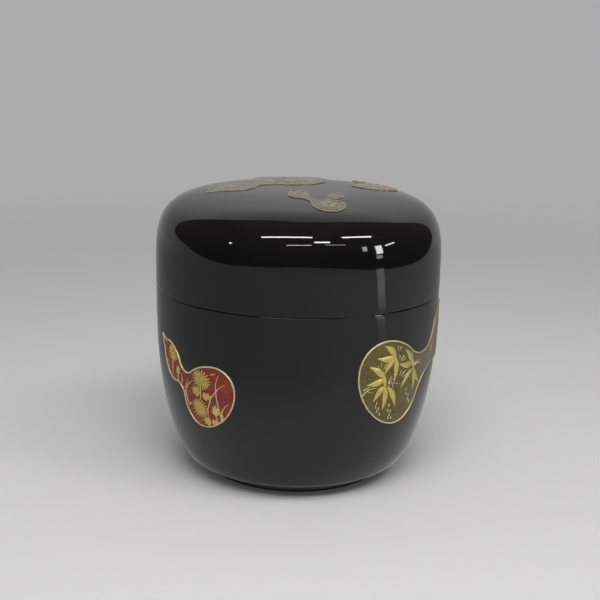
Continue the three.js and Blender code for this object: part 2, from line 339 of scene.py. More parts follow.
def gourd_side(gourd, margin):
    """One side of a gourd that points along +X, from the large bulb's back to the stem's tip."""
    length = greatest_radius * gourd["length"]
    bulb, top_bulb, waist = (length * gourd[part] for part in ("bulb", "top_bulb", "waist"))
    top = length - bulb - top_bulb
    to_waist, from_waist = bulb + waist, top_bulb + waist
    waist_angle = acos((top ** 2 + to_waist ** 2 - from_waist ** 2) / (2 * top * to_waist))
    hollow = (to_waist * cos(waist_angle), to_waist * sin(waist_angle))
    top_angle = atan2(hollow[1], hollow[0] - top)
    tip = length * (1 + STEM_SHARE) - bulb - margin / sin(STEM_HALF_ANGLE)
    shoulders = [
        *arc((0, 0), bulb - margin, pi, waist_angle, 36),
        *arc(hollow, waist + margin, pi + waist_angle, pi + top_angle, 14)[1:-1],
        *arc((top, 0), top_bulb - margin, top_angle, STEM_HALF_ANGLE, 18),
    ]
    point = Vector((tip, 0))
    return shoulders + [shoulders[-1].lerp(point, share) for share in (0.3, 0.6, 1)]


def turned_to_heading(gourd, flat):
    """A point of the straight gourd on the finished one, still drawn round its own middle."""
    length = greatest_radius * gourd["length"]
    wide = flat.y * gourd["plumpness"]
    leaning = flat.x + wide * gourd["slant"]
    bent = wide + gourd["bend"] * max(leaning, 0) ** 2 / length
    turn = radians(gourd["heading"])
    return Vector((
        leaning * cos(turn) - bent * sin(turn),
        leaning * sin(turn) + bent * cos(turn),
    ))


def on_the_wall(gourd, x, y, rise):
    """A drawn point laid on the cup's round wall: x runs round it and y is the height."""
    bearing = (gourd["across"] + x) / greatest_radius
    z = gourd["up"] + y
    slope = (body_radius(z + SLOPE_STEP) - body_radius(z - SLOPE_STEP)) / (2 * SLOPE_STEP)
    lean = Vector((1, -slope)).normalized()
    r = body_radius(z) + rise * lean.x
    return Vector((r * sin(bearing), -r * cos(bearing), z + rise * lean.y))


def on_the_lid(gourd, x, y, rise):
    """A drawn point laid on the top of the lid, seen from above."""
    across, back = gourd["across"] + x, gourd["up"] + y
    r = hypot(across, back)
    slope = (lid_height(r + SLOPE_STEP) - lid_height(max(r - SLOPE_STEP, 0))) / (2 * SLOPE_STEP)
    lean = Vector((-slope, 1)).normalized()
    spread = 1 + rise * lean.x / max(r, MM)
    return Vector((across * spread, back * spread, lid_height(r) + rise * lean.y))


def lay(piece, gourd):
    """Lays a flat drawing, whose z is its rise, on the half that carries the gourd."""
    place = on_the_wall if gourd["half"] == "body" else on_the_lid
    for vertex in piece.data.vertices:
        vertex.co = place(gourd, *vertex.co)


def tidy_mesh(piece):
    select(piece)
    bpy.ops.object.mode_set(mode="EDIT")
    close_mesh(DRAWN_MERGE, DRAWN_CREASE)


def make_field(name, gourd):
    """The coloured field: a grid stretched between the sides, crowned and given its wall."""
    side = gourd_side(gourd, LINE_WIDTH * 0.5)
    bpy.ops.mesh.primitive_grid_add(x_subdivisions=len(side) - 1, y_subdivisions=20, size=1)
    field = just_added(name + "_lacquer")
    for vertex in field.data.vertices:
        station = side[round((vertex.co.x + 0.5) * (len(side) - 1))]
        share = sin(vertex.co.y * pi)
        flat = turned_to_heading(gourd, Vector((station.x, station.y * share)))
        edge = station.y * (1 - abs(share))
        crown = 1 - CROWN_SHARE * exp(-edge / CROWN_REACH)
        vertex.co = (flat.x, flat.y, FIELD_RISE * crown)
    lay(field, gourd)
    tidy_mesh(field)
    wall = field.modifiers.new("wall", "SOLIDIFY")
    wall.thickness = FIELD_RISE + SINK
    wall.offset = -1
    bpy.ops.object.modifier_apply(modifier=wall.name)
    tidy_mesh(field)
    return field


def make_gold_line(name, gourd):
    """The gold line round the field: a ring laid just inside the outline, flat underneath."""
    side = gourd_side(gourd, 0)
    loop = [turned_to_heading(gourd, p) for p in side + [Vector((p.x, -p.y)) for p in reversed(side[1:-1])]]
    count = len(loop)
    bpy.ops.mesh.primitive_torus_add(
        major_segments=count, minor_segments=12, major_radius=1, minor_radius=TUBE)
    line = just_added(name + "_gold_rim")
    for vertex in line.data.vertices:
        turn = atan2(vertex.co.y, vertex.co.x) % tau
        i = round(turn / tau * count) % count
        arriving = (loop[i] - loop[i - 1]).normalized()
        leaving = (loop[(i + 1) % count] - loop[i]).normalized()
        along = (arriving + leaving).normalized()
        inward = Vector((along.y, -along.x)) / along.dot(arriving)
        share = max(-1, min(1, (hypot(vertex.co.x, vertex.co.y) - 1) / TUBE))
        height = max(vertex.co.z / TUBE, -0.25)
        flat = loop[i] + inward * (1 - share) * LINE_WIDTH / 2
        vertex.co = (flat.x, flat.y, height * (LINE_RISE if height > 0 else 4 * SINK))
    lay(line, gourd)
    tidy_mesh(line)
    return line


# ---- Brushwork in raised gold: a stroke is modelled once, straight, and its copies follow paths ----
SOLE = 0.2  # how far a stroke reaches below its middle
NEARBY = 0.02  # the step that finds a path's direction


def model_stroke(name, stations, sides):
    """A half-round bar along +X. A station is a share of its length and of its half width."""
    bpy.ops.mesh.primitive_circle_add(
        vertices=sides, radius=stations[0][1], fill_type="NGON", rotation=(0, pi / 2, 0))
    bpy.ops.object.transform_apply(location=False, rotation=True, scale=False)
    stroke = just_added(name)
    edit_all()
    for (before, width_before), (share, width) in zip(stations, stations[1:]):
        bpy.ops.mesh.extrude_region_move(TRANSFORM_OT_translate={"value": (share - before, 0, 0)})
        ratio = width / width_before
        bpy.ops.transform.resize(value=(1, ratio, ratio), center_override=(share, 0, 0))
    bpy.ops.object.mode_set(mode="OBJECT")
    for vertex in stroke.data.vertices:
        vertex.co.z = max(vertex.co.z, -SOLE)
    return stroke


def model_dome(name):
    """A low round boss of radius one: half a ball, cut off flat a little below its middle."""
    bpy.ops.mesh.primitive_uv_sphere_add(segments=14, ring_count=8, radius=1)
    dome = just_added(name)
    edit_all()
    bpy.ops.mesh.bisect(plane_co=(0, 0, -SOLE), plane_no=(0, 0, 1), use_fill=True, clear_inner=True)
    bpy.ops.object.mode_set(mode="OBJECT")
    return dome


def through(points):
    """A smooth path through points, as a function of a share of it."""
    places = [Vector(p) for p in points]
    ends = [2 * places[0] - places[1], *places, 2 * places[-1] - places[-2]]
    spans = len(places) - 1

    def at(share):
        reach = min(max(share, 0), 1) * spans
        i = min(int(reach), spans - 1)
        t = reach - i
        a, b, c, d = ends[i:i + 4]
        return 0.5 * (2 * b + (c - a) * t + (2 * a - 5 * b + 4 * c - d) * t ** 2
                      + (3 * b - a - 3 * c + d) * t ** 3)
    return at


def sideways(path, share):
    """Square to a path, on its left."""
    along = (path(share + NEARBY) - path(share - NEARBY)).normalized()
    return Vector((-along.y, along.x))


def copy_of(template):
    """A copy with its own mesh."""
    select(template)
    bpy.ops.object.duplicate()
    return bpy.context.object


def stroke_along(template, points, half_width, rise, base=0.0):
    """A copy of a stroke that follows a path. Its z is its rise over the lacquer."""
    path = through(points)
    copy = copy_of(template)
    for vertex in copy.data.vertices:
        share, aside, height = vertex.co
        here = path(share)
        flat = here + sideways(path, share) * aside * half_width
        vertex.co = (flat.x, flat.y, base + height * rise)
    return copy


def join_as(name, parts, gourd):
    """Joins drawn parts to one piece and lays it on the gourd."""
    select(*parts)
    if len(parts) > 1:
        bpy.ops.object.join()
    piece = just_added(name)
    piece.data.name = name
    lay(piece, gourd)
    tidy_mesh(piece)
    return piece


# ---- The seasonal plants, in millimetres from the middle of each gourd's large bulb ----
BRUSH_STATIONS = {
    "grass": [(0, 0.35), (0.06, 0.75), (0.2, 1), (0.5, 0.95), (0.75, 0.7), (0.92, 0.4), (1, 0.12)],
    "leaf": [(0, 0.16), (0.07, 0.4), (0.2, 0.8), (0.36, 1), (0.52, 0.92), (0.7, 0.62), (0.86, 0.3), (1, 0.04)],
    "petal": [(0, 0.3), (0.35, 0.62), (0.7, 1), (0.9, 0.95), (1, 0.45)],
    "lobe": [(0, 0.35), (0.3, 0.8), (0.65, 1), (0.88, 0.75), (1, 0.3)],
    "twig": [(0, 1), (0.3, 0.9), (0.6, 0.75), (0.85, 0.6), (1, 0.3)],
    "edge": [(i / 12, 1) for i in range(13)],
}
ON_FIELD = FIELD_RISE * 0.9
SIDE_LEAF_WIDTH = 1.7 * MM

brush = {}


def model_brushes():
    for kind, stations in BRUSH_STATIONS.items():
        brush[kind] = model_stroke(kind + "_brush", stations, 6 if kind == "petal" else 8)
    brush["boss"] = model_dome("boss_brush")


def put_brushes_away():
    for template in brush.values():
        bpy.data.objects.remove(template)
    brush.clear()


def mm(*points):
    """Drawn points in millimetres, in metres."""
    return [(x * MM, y * MM) for x, y in points]


def paths(*drawn):
    """Lines written as x, y, x, y ..., as lists of points."""
    return [list(zip(line[::2], line[1::2])) for line in drawn]


def strokes(kind, lines, half_width, rise=0.14, base=ON_FIELD):
    """Copies of one brush along several lines. Widths and rises are in millimetres."""
    return [stroke_along(brush[kind], mm(*line), half_width * MM, rise * MM, base) for line in lines]


def boss(middle, radius, rise=0.2):
    """A round boss. Its radius and rise are in millimetres."""
    copy = copy_of(brush["boss"])
    across, up = mm(middle)[0]
    for vertex in copy.data.vertices:
        x, y, height = vertex.co
        vertex.co = (across + x * (radius * MM), up + y * (radius * MM), ON_FIELD + height * (rise * MM))
    return copy


def from_hub(hub, tips, sag=0.07):
    """Slightly bowed lines from a hub to each tip."""
    lines = []
    for i, (x, y) in enumerate(tips):
        dx, dy = x - hub[0], y - hub[1]
        bow = sag if i % 2 else -sag
        middle = (hub[0] + dx * 0.5 - dy * bow, hub[1] + dy * 0.5 + dx * bow)
        lines.append([(hub[0] + dx * 0.03, hub[1] + dy * 0.03), middle, (x, y)])
    return lines


def rays(middle, across, tall, count, turn, reaches):
    """Lines that stand round a middle, each through the same reaches."""
    lines = []
    for i in range(count):
        angle = turn + tau * i / count
        ray = (cos(angle) * across, sin(angle) * tall)
        lines.append([(middle[0] + ray[0] * r, middle[1] + ray[1] * r) for r in reaches])
    return lines


def chrysanthemum(middle, across, tall, petals, turn=0.0):
    """Narrow petals round a domed heart: a full round, and a shorter one above it."""
    width = 0.215 * tau / petals * (across + tall) / 2
    return [
        *strokes("petal", rays(middle, across, tall, petals, turn, (0.2, 0.6, 1)), width, 0.13),
        *strokes("petal", rays(middle, across, tall, petals, turn + pi / petals, (0.1, 0.4, 0.66)),
                 width * 0.66, 0.2),
        boss(middle, 0.22 * tall, 0.26),
    ]


def lobed_leaf(foot, tip, spread):
    """A long middle lobe and two pairs beside it."""
    dx, dy = tip[0] - foot[0], tip[1] - foot[1]
    lobes = []
    for share, aside in ((1, 0), (0.8, 0.45), (0.8, -0.45), (0.42, 0.62), (0.42, -0.62)):
        end = (foot[0] + dx * share - dy * aside * spread, foot[1] + dy * share + dx * aside * spread)
        root = (foot[0] + dx * share * 0.12, foot[1] + dy * share * 0.12)
        lobes.append([root, ((root[0] + end[0]) / 2, (root[1] + end[1]) / 2), end])
    return strokes("lobe", lobes, 0.125 * hypot(dx, dy), 0.13)


def several(draw, *places):
    """One kind of flower or leaf in several places."""
    return [stroke for place in places for stroke in draw(*place)]


def draw_chrysanthemum_gourd():
    flowers = several(
        chrysanthemum, ((-1.25, 3.85), 2.7, 2.3, 18), ((-2.2, -2.95), 2.4, 2.2, 17, 0.1),
        ((-11.05, 7.7), 2, 1.85, 16, 0.1))
    leaves = several(
        lobed_leaf, ((-1.8, 0.5), (-4.5, 1.3), 0.65), ((-1.2, 0.1), (1.5, 0.5), 0.5),
        ((-9.4, 3.1), (-9, 5.4), 0.5), ((0.8, -5.7), (-1.7, -5.5), 0.7), ((0.9, -5.6), (3, -5.3), 0.45),
        ((2.35, -3.9), (2.4, -1.2), 0.62))
    grasses = strokes("twig", paths(
        (-1.5, 1.7, -1.6, 0.3, -1.8, -1), (-11.2, 5.9, -11.6, 4.2, -11.8, 2.6),
        (2.3, -3.8, 2.6, -4.6, 2.8, -5.3), (-9.3, 3.2, -9.3, 2.2, -9, 1.2),
        (-14.2, 5.8, -14.1, 4.8, -13.8, 3.8),
    ), 0.12)
    grasses += strokes("grass", paths(
        (4.2, -5, 3.6, -3.4, 3.2, -0.8, 2.6, 1.7, 3, 4.4, 3.9, 6.1),
        (0.1, -4.5, 0.2, -2.6, 0.9, -0.7, 2.1, 1.3, 3.9, 3.1, 5.4, 4),
        (3.6, -5.2, 3.9, -3.3, 4.7, -1.5, 6.2, -0.2), (4.2, -4.8, 4.2, -3.5, 3.8, -2.4),
        (-5.7, -3.3, -6.4, -1.6, -6.7, -0.2, -6.3, 1.7, -5.4, 3.2), (-6.2, 0.9, -5.4, 2.1, -4.1, 2.8),
        (-8, 1.4, -7.7, 2.8, -8.1, 3.8), (1.4, 5.5, 2.2, 5.8, 3.1, 6), (-5.9, -3.1, -5.2, -2.5, -4.4, -2.1),
    ), 0.14, 0.12)
    return {"flowers": flowers, "leaves": leaves, "grasses": grasses}


def draw_bamboo_gourd():
    leaves = []
    for hub, tips, width in (
        ((0.1, 6), ((-3.4, 9), (-5.3, 6.4), (-3.2, 2.4), (-0.1, 0)), 0.78),
        ((-2.7, 1.5), ((-7.2, 4.8), (-7.6, 0.7)), 0.76),
        ((-2.5, -0.1), ((-5.5, -3.6), (-2.7, -6)), 0.76),
        ((-1.7, -0.4), ((-1.4, -0.5), (1.3, -5.8)), 0.76),
        ((6.1, 3.4), ((2.9, 7.2), (1.1, 4.2)), 0.78),
        ((6.4, 2.4), ((2.2, -1.9), (7, -3.4), (9.8, -2)), 0.62),
    ):
        leaves += strokes("leaf", from_hub(hub, tips), width, 0.2)
    leaves += strokes("leaf", paths(
        (-2.9, 2.3, -2.7, 0.6, -2.2, -0.9), (6.1, 4.2, 6.3, 3, 6.5, 1.8),
    ), 0.5, 0.22)
    twigs = strokes("twig", paths(
        (0.5, 8.4, 0.5, 7.9, 0.4, 7.4), (1.4, 8.2, 1.2, 7.7, 0.9, 7.2), (-4.2, 5.2, -4, 4.6, -3.7, 3.9),
        (-2.6, 4.9, -3, 4.3, -3.5, 3.6), (-4.9, 4.8, -4.6, 4.3, -4.3, 3.7), (2.6, 5.9, 2.1, 5.4, 1.5, 5),
        (1.1, 6.2, 1.2, 5.7, 1.2, 5.2), (3.1, 5.2, 2.5, 4.9, 1.8, 4.8), (2, 2.6, 1.8, 2, 1.5, 1.5),
        (3.4, 2.2, 2.7, 1.8, 2, 1.2), (4.3, 1.2, 3.4, 1.2, 2.5, 0.9), (-1.9, 0.4, 0, 0.1, 1.9, -0.6),
        (-1.7, 0.3, -1.1, 0.8, -0.4, 1.2), (-0.7, 0.2, -0.3, -0.5, 0.1, -1.2),
        (-1, 1.7, -1.4, 1.2, -1.8, 0.6), (-8.4, -1.6, -7.6, -0.8, -6.4, -0.2, -4.8, -0.4),
        (-8.3, -0.4, -7.5, -0.1, -6.6, 0.2), (-7.2, -0.6, -6.5, -1.1, -5.6, -1.3),
        (6.7, 2.7, 8.6, 3, 10.6, 1.9), (6.9, 2.8, 7.3, 3.3, 7.7, 3.8), (7.9, 2.9, 8.7, 3.5, 9.6, 3.4),
        (14.9, 4.3, 16.6, 6.2, 19, 7.4, 22, 7.6),
    ), 0.09, 0.12)
    twigs += strokes("leaf", [
        *from_hub((15.6, 5.3), ((13.2, 5.6), (14.2, 2.6), (17.2, 3.2))),
        *from_hub((19.6, 7.5), ((17.6, 9.6), (18.6, 4.4), (21.6, 3.9))),
        *from_hub((22.2, 7.8), ((21.6, 11.2), (24.9, 9.8), (24.7, 5.4))),
    ], 0.42, 0.12)
    dew = strokes("lobe", [[(x - 0.04, y + 0.38), (x, y), (x + 0.03, y - 0.36)] for x, y in (
        (-4.4, -3.9), (-4.6, -4.7), (-3.8, -5.2), (-4.1, -5.8), (-3.2, -6.6), (-0.7, -5), (-0.8, -6.2),
        (0, -6.5), (-0.2, -7.3), (-0.4, -8), (0.5, -8.2), (4.5, -2.3), (4.6, -3.3), (5.6, -3.9),
        (5.6, -4.9), (6.3, -5.6),
    )], 0.17)
    return {"leaves": leaves, "twigs": twigs, "dew": dew}


def plum_blossom(middle, radius, turn=0):
    """Five round petals round a boss, with fine stamens."""
    petals = rays(middle, radius, radius, 5, turn, (0.56,))
    stamens = rays(middle, radius, radius, 10, turn + pi / 10, (0.16, 0.4, 0.6))
    return [
        *[boss(petal[0], radius * 0.38, 0.16) for petal in petals],
        *strokes("twig", stamens, radius * 0.035, 0.1, FIELD_RISE + 0.1 * MM),
        boss(middle, radius * 0.17),
    ]


def draw_plum_gourd():
    flowers = several(
        plum_blossom, ((-2.9, 3.2), 1.9, 0.2), ((2.2, 1.2), 2.2, 0.9), ((-1.8, -3.6), 1.7, 0.5),
        ((13.6, 7), 1.6, 0.3), ((17, 9), 1.3, 0.7), ((5, -3.4), 1.2, 0.1))
    branches = strokes("twig", paths(
        (-6.4, -4.4, -4.6, -1.6, -3.4, 0.2, -1.6, 1.5, 0.6, 3.9, 1.2, 6.6),
        (-3.8, -0.4, -1, -1.2, 1.6, -1.4, 4.2, -0.2, 7, 1), (9.8, 3.4, 11.6, 4.8, 13.8, 5.4, 16.6, 7),
    ), 0.3, 0.16)
    branches += strokes("twig", paths(
        (-1.2, 1.9, -3, 5.2, -3.2, 6.8), (-4.8, -1.9, -6.2, -0.2, -6.7, 1.6),
        (1.9, -1.4, 3, -3.2, 3.2, -5.6), (-3.4, -0.8, -2.9, -3.2, -3.9, -5.8),
        (12, 4.9, 12.8, 4.2, 14, 3.7),
    ), 0.13, 0.13)
    buds = [boss(place, 0.42) for place in (
        (1.2, 6.4), (-3.2, 6.5), (-6.6, 1.4), (3.2, -5.4), (-3.8, -5.6), (6.8, 0.9), (14.1, 3.8), (17.8, 6.2),
    )]
    return {"flowers": flowers, "branches": branches, "buds": buds}


def bell_flower(middle, radius, turn=0):
    """Five pointed petals round a small boss."""
    petals = rays(middle, radius, radius, 5, turn, (0.08, 0.5, 1))
    return [*strokes("leaf", petals, radius * 0.34), boss(middle, radius * 0.18)]


def draw_large_lid_gourd():
    flowers = several(
        bell_flower, ((-3, 3.4), 2.2, 0.3), ((2.9, 4.2), 2, 0.7), ((0.2, -1.2), 2.5, 0.1),
        ((5.2, -1.4), 1.6, 0.5), ((-4.6, -3.4), 1.8, 0.9), ((-12.8, -13.4), 1.9, 0.2),
        ((-15.2, -16.4), 1.4, 0.6))
    grasses = strokes("grass", paths(
        (-6.9, -4.6, -2, 0.6, 5.6, 5), (-6, -5.8, 0.4, -3.8, 6.8, 2.2), (-6.4, 4.4, -1.2, 6.4, 3, 7.8),
        (-2.2, -7.8, 3.8, -4.4, 7.8, -1.8), (-8.4, -8.4, -11, -11.2, -14.6, -12.6),
        (-9, -9.8, -12.8, -15.4, -16, -17),
    ), 0.16)
    return {"flowers": flowers, "grasses": grasses}


def draw_red_lid_gourd():
    leaves = several(
        lobed_leaf, ((-2.6, -2), (-2.9, 0.4), 1.05), ((1.8, 0.9), (3.4, 2.3), 1.05),
        ((1, -3.1), (2.7, -3.5), 1.05), ((-1.4, 2.4), (-2.2, 3.9), 1.05), ((-0.9, 10.4), (-1.6, 12.4), 1.05))
    grasses = strokes("twig", paths(
        (-2.5, -2.1, -1, -1, 0.4, 0.4, 1.8, 0.9), (0.5, -4.6, -0.2, -2.4, 0, 0.4, -1.4, 2.4),
        (1, -3.1, 0.4, -2.7, -0.2, -2.2), (-0.4, 6.8, -0.5, 8.6, -0.9, 10.5),
    ), 0.13)
    return {"leaves": leaves, "grasses": grasses}


def draw_small_lid_gourd():
    flowers = several(plum_blossom, ((0, 0.1), 2, radians(90)), ((-6.3, 9), 1.5, 0.3))
    grasses = strokes("twig", paths(
        (-1.2, -2.8, -2.3, -1, -2.6, 1.2, -4.2, 4.6, -5.6, 7.2), (1, -2.9, 2.4, -1.2, 2.7, 0.6),
    ), 0.13)
    spine = through(mm((0.7, 4.9), (2, 9.2), (1.4, 13.6)))
    leaf = [stroke_along(brush["leaf"], [spine(share) for share in (0, 0.5, 1)], SIDE_LEAF_WIDTH, 0.2 * MM)]
    rim = []
    for side in (-1, 1):
        edge = []
        for share, width in BRUSH_STATIONS["leaf"]:
            edge.append(spine(share) + sideways(spine, share) * side * width * SIDE_LEAF_WIDTH)
        rim.append(stroke_along(brush["edge"], edge, 0.16 * MM, 0.26 * MM))
    return {"flowers": flowers, "grasses": grasses, "side_leaf": leaf, "side_leaf_rim": rim}


DRAWINGS = {
    "body_gourd_chrysanthemum": draw_chrysanthemum_gourd,
    "body_gourd_bamboo": draw_bamboo_gourd,
    "body_gourd_plum": draw_plum_gourd,
    "lid_gourd_large": draw_large_lid_gourd,
    "lid_gourd_red": draw_red_lid_gourd,
    "lid_gourd_small": draw_small_lid_gourd,
}


# ---- Finishes ----
LACQUER = {"IOR": 1.5}
ORNAMENT = {"IOR": 1.5, "Specular IOR Level": 0.36}
CLEAR_COAT = {"Specular IOR Level": 0.1, "Coat Weight": 0.85, "Coat Roughness": 0.1, "Coat IOR": 1.5}
PATTERN_LOW, PATTERN_HIGH = 0.3, 0.7
# Painted light: between these two x places the ornament gives way to the paler colours below, standing in for how
# its gloss catches the light on the caddy's right
PAINTED_LIGHT_FROM, PAINTED_LIGHT_TO = 0.0245, 0.0305
OLIVE_PAINTED_LIGHT = (0.17, 0.155, 0.095)
GOLD_PAINTED_LIGHT = (0.3, 0.27, 0.17)


class Finish:
    """A material, and what adds nodes to it. Patterns lie on the object's own coordinates."""

    def __init__(self, name):
        self.material = bpy.data.materials.new(name)
        self.material.use_nodes = True
        tree = self.material.node_tree
        self.nodes, self.link = tree.nodes, tree.links.new
        self.shader = self.nodes["Principled BSDF"]
        self.place = self.add("TexCoord").outputs["Object"]

    def add(self, kind, *sources, **settings):
        """A node fed by sources in order. A setting is an input's value or a property."""
        node = self.nodes.new("ShaderNode" + kind)
        for key, value in settings.items():
            if key in node.inputs:
                node.inputs[key].default_value = value
            else:
                setattr(node, key, value)
        for i, source in enumerate(sources):
            self.link(source, node.inputs[i])
        return node

    def set_shader(self, values):
        for key, value in values.items():
            self.shader.inputs[key].default_value = value

    def noise(self, scale, detail, roughness, distortion=0.0):
        """A noise pattern. Its scale is in features per metre."""
        pattern = self.add("TexNoise", self.place, Scale=scale, Detail=detail, Roughness=roughness,
                           Distortion=distortion)
        return pattern.outputs["Fac"]

    def ramp(self, source, stops):
        """A colour ramp. A stop is a position and a colour, or a position and a grey."""
        node = self.add("ValToRGB", source)
        elements = node.color_ramp.elements
        while len(elements) < len(stops):
            elements.new(0.5)
        for element, (position, colour) in zip(elements, stops):
            element.position = position
            element.color = (*colour, 1) if isinstance(colour, tuple) else (colour, colour, colour, 1)
        return node.outputs["Color"]

    def mix(self, share, under, over):
        """A colour that gives way to another, by a share."""
        node = self.add("Mix", data_type="RGBA")
        self.link(share, node.inputs["Factor"])
        self.link(under, node.inputs[6])
        node.inputs[7].default_value = (*over, 1)
        return node.outputs[2]

    def painted_light_rightwards(self, colour, pale):
        """Painted light: the ornament is painted paler towards the caddy's right, where its gloss meets the light
        at a grazing angle.
        """
        across = self.add("SeparateXYZ", self.place).outputs["X"]
        return self.mix(self.ramp(across, [(PAINTED_LIGHT_FROM, 0), (PAINTED_LIGHT_TO, 1)]), colour, pale)

    def colour(self, source):
        self.link(source, self.shader.inputs["Base Color"])

    def feel(self, rough, low, high, relief, depth, strength, values):
        """Roughness over one pattern, relief over another, and plain values."""
        spread = self.add("MapRange", rough, **{
            "From Min": PATTERN_LOW, "From Max": PATTERN_HIGH, "To Min": low, "To Max": high})
        self.link(spread.outputs["Result"], self.shader.inputs["Roughness"])
        bump = self.add("Bump", Strength=strength, Distance=depth)
        self.link(relief, bump.inputs["Height"])
        self.link(bump.outputs["Normal"], self.shader.inputs["Normal"])
        self.set_shader(values)
        return self

    def reach(self):
        """The distance from the middle of the floor."""
        return self.add("VectorMath", self.place, operation="LENGTH").outputs["Value"]

    def glow(self, colour):
        return self.add("Emission", colour).outputs["Emission"]

    def surface(self, source):
        self.link(source, self.nodes["Material Output"].inputs["Surface"])

    def blend(self, share, under, over):
        """A surface that gives way to another, by a share."""
        self.surface(self.add("MixShader", share, under, over).outputs["Shader"])


def polished_black_lacquer():
    """Roiro lacquer, polished to a mirror, with the faint swell that hand polishing leaves."""
    look = Finish("polished_black_lacquer")
    cloud = look.noise(55, 4, 0.6)
    look.colour(look.ramp(cloud, [(0.3, (0.0026, 0.0024, 0.0026)), (0.7, (0.0042, 0.0038, 0.004))]))
    haze, swell = look.noise(220, 5, 0.65), look.noise(70, 1.5, 0.4)
    return look.feel(haze, 0.03, 0.055, swell, 0.02 * MM, 0.5, LACQUER)


def satin_inner_lacquer():
    """The same lacquer inside, a little softer, with fine marks that run round it."""
    look = Finish("satin_inner_lacquer")
    cloud = look.noise(80, 4, 0.6)
    look.colour(look.ramp(cloud, [(0.3, (0.0045, 0.0036, 0.0034)), (0.7, (0.0085, 0.0062, 0.0055))]))
    rings = look.add("TexWave", look.place, wave_type="BANDS", bands_direction="Z", Scale=420,
                       Distortion=0.6, Detail=2)
    return look.feel(look.noise(300, 4, 0.6), 0.1, 0.17, rings.outputs["Fac"], 0.02 * MM, 0.2, LACQUER)


def turned_wood():
    """Straight-grained wood: growth rings round an axis beside the caddy, and fine pores."""
    look = Finish("turned_wood")
    seat = look.add("Mapping", look.place, Location=(0.05, 0.02, 0)).outputs["Vector"]
    rings = look.add("TexWave", seat, wave_type="RINGS", rings_direction="Z", Scale=130,
                       Distortion=2.2, Detail=3)
    look.colour(look.ramp(rings.outputs["Fac"], [
        (0, (0.3, 0.17, 0.075)), (0.55, (0.42, 0.25, 0.12)), (1, (0.2, 0.1, 0.042)),
    ]))
    pores = look.noise(2600, 2, 0.5)
    return look.feel(pores, 0.5, 0.68, pores, 0.05 * MM, 0.5, {})


def mottled_red_lacquer(name, shades, cover):
    """Red lacquer with cloudy purple patches and a thin dusting of gold."""
    look = Finish(name)
    red = look.ramp(look.noise(330, 3, 0.55, 0.3), list(zip((0.32, 0.4, 0.48, 0.66), shades)))
    dust = look.ramp(look.noise(9000, 1, 0.5), [(0.66, 0), (0.74, cover)])
    look.colour(look.mix(dust, red, (0.6, 0.3, 0.12)))
    haze, grain = look.noise(900, 3, 0.5), look.noise(2500, 2, 0.5)
    return look.feel(haze, 0.22, 0.34, grain, 0.02 * MM, 0.5, ORNAMENT)


RED_SHADES = ((0.165, 0.018, 0.048), (0.195, 0.017, 0.017), (0.215, 0.02, 0.008), (0.24, 0.034, 0.01))
COATED_RED_SHADES = (
    (0.15, 0.026, 0.04), (0.172, 0.024, 0.028), (0.186, 0.026, 0.02), (0.2, 0.044, 0.028),
)


def dusted_olive_lacquer(name, shades, cover):
    """Brown lacquer under a close dusting of gold, which reads as olive."""
    look = Finish(name)
    ground = look.ramp(look.noise(260, 3, 0.6, 0.2), list(zip((0.35, 0.52, 0.68), shades)))
    dust = look.ramp(look.noise(7000, 1, 0.5), [(cover, 0), (cover + 0.13, 1)])
    # Painted light: the field is painted paler towards the caddy's right
    look.colour(look.painted_light_rightwards(look.mix(dust, ground, (0.42, 0.32, 0.09)), OLIVE_PAINTED_LIGHT))
    look.link(dust, look.shader.inputs["Metallic"])
    haze, grain = look.noise(1200, 3, 0.5), look.noise(6000, 2, 0.5)
    return look.feel(haze, 0.26, 0.4, grain, 0.02 * MM, 0.6, ORNAMENT)


OLIVE_SHADES = ((0.06, 0.05, 0.013), (0.086, 0.07, 0.017), (0.104, 0.084, 0.021))
COATED_OLIVE_SHADES = ((0.044, 0.042, 0.018), (0.06, 0.056, 0.024), (0.074, 0.064, 0.03))


def gold_powder(name, light, deep, rough, metal):
    """Gold powder: a fine grain in the metal, with painted light that makes it paler towards the caddy's right."""
    look = Finish(name)
    powder = look.ramp(look.noise(5200, 3, 0.6), [(0.3, deep), (0.62, light)])
    look.colour(look.painted_light_rightwards(powder, GOLD_PAINTED_LIGHT))
    haze, grain = look.noise(2600, 3, 0.6), look.noise(8000, 2, 0.5)
    return look.feel(haze, rough - 0.07, rough + 0.08, grain, 0.03 * MM, 0.5, {"Metallic": metal})


def under_clear_lacquer(look):
    """The lid's ornament lies under a clear coat, which mirrors like the black round it."""
    look.set_shader(CLEAR_COAT)
    return look


# ---- Studio: a pale floor that fades into a pale surround, two soft lamps, and what only the gloss sees: tube lamps,
# bright panes, and painted reflections that give no diffuse light: a bright ceiling, a dark flag, a grey floor card
# and a white card ----
SURROUND = 0.41
FLOOR_COLOUR = 0.64
FLOOR_RADIUS = 6
FLOOR_FADES, FLOOR_GONE = 0.12, 0.5
LID_FRONT = caddy_height * 0.75
CEILING_DISTANCE, CEILING_FOOT = 1.3, 0.05
# Painted reflection: the ceiling dome's glow from its foot up to its top
REFLECTED_CEILING_SHADES = [
    (0, (0.4, 0.4, 0.41)), (0.3, (0.42, 0.42, 0.43)), (0.5, (0.6, 0.6, 0.61)),
    (0.72, (0.92, 0.92, 0.93)), (0.9, 0.78), (1, 0.6),
]
FLAG_DISTANCE = 0.8
FLAG_CLEARANCE = 2 * MM
FLAG_MIDDLE = (5, 45)
FLAG_CORNERS = [
    (-119, 22), (-114, 42), (-112, 61), (-138, 77), (179, 85), (122, 73), (118, 42), (129, 19), (132, 2),
    (125, -4), (110, -6.5), (86, -7), (61, -6.5), (30, -4.2), (1, -3), (-28, -4), (-58, -5), (-82, -3),
    (-97, 1), (-116, 7),
]
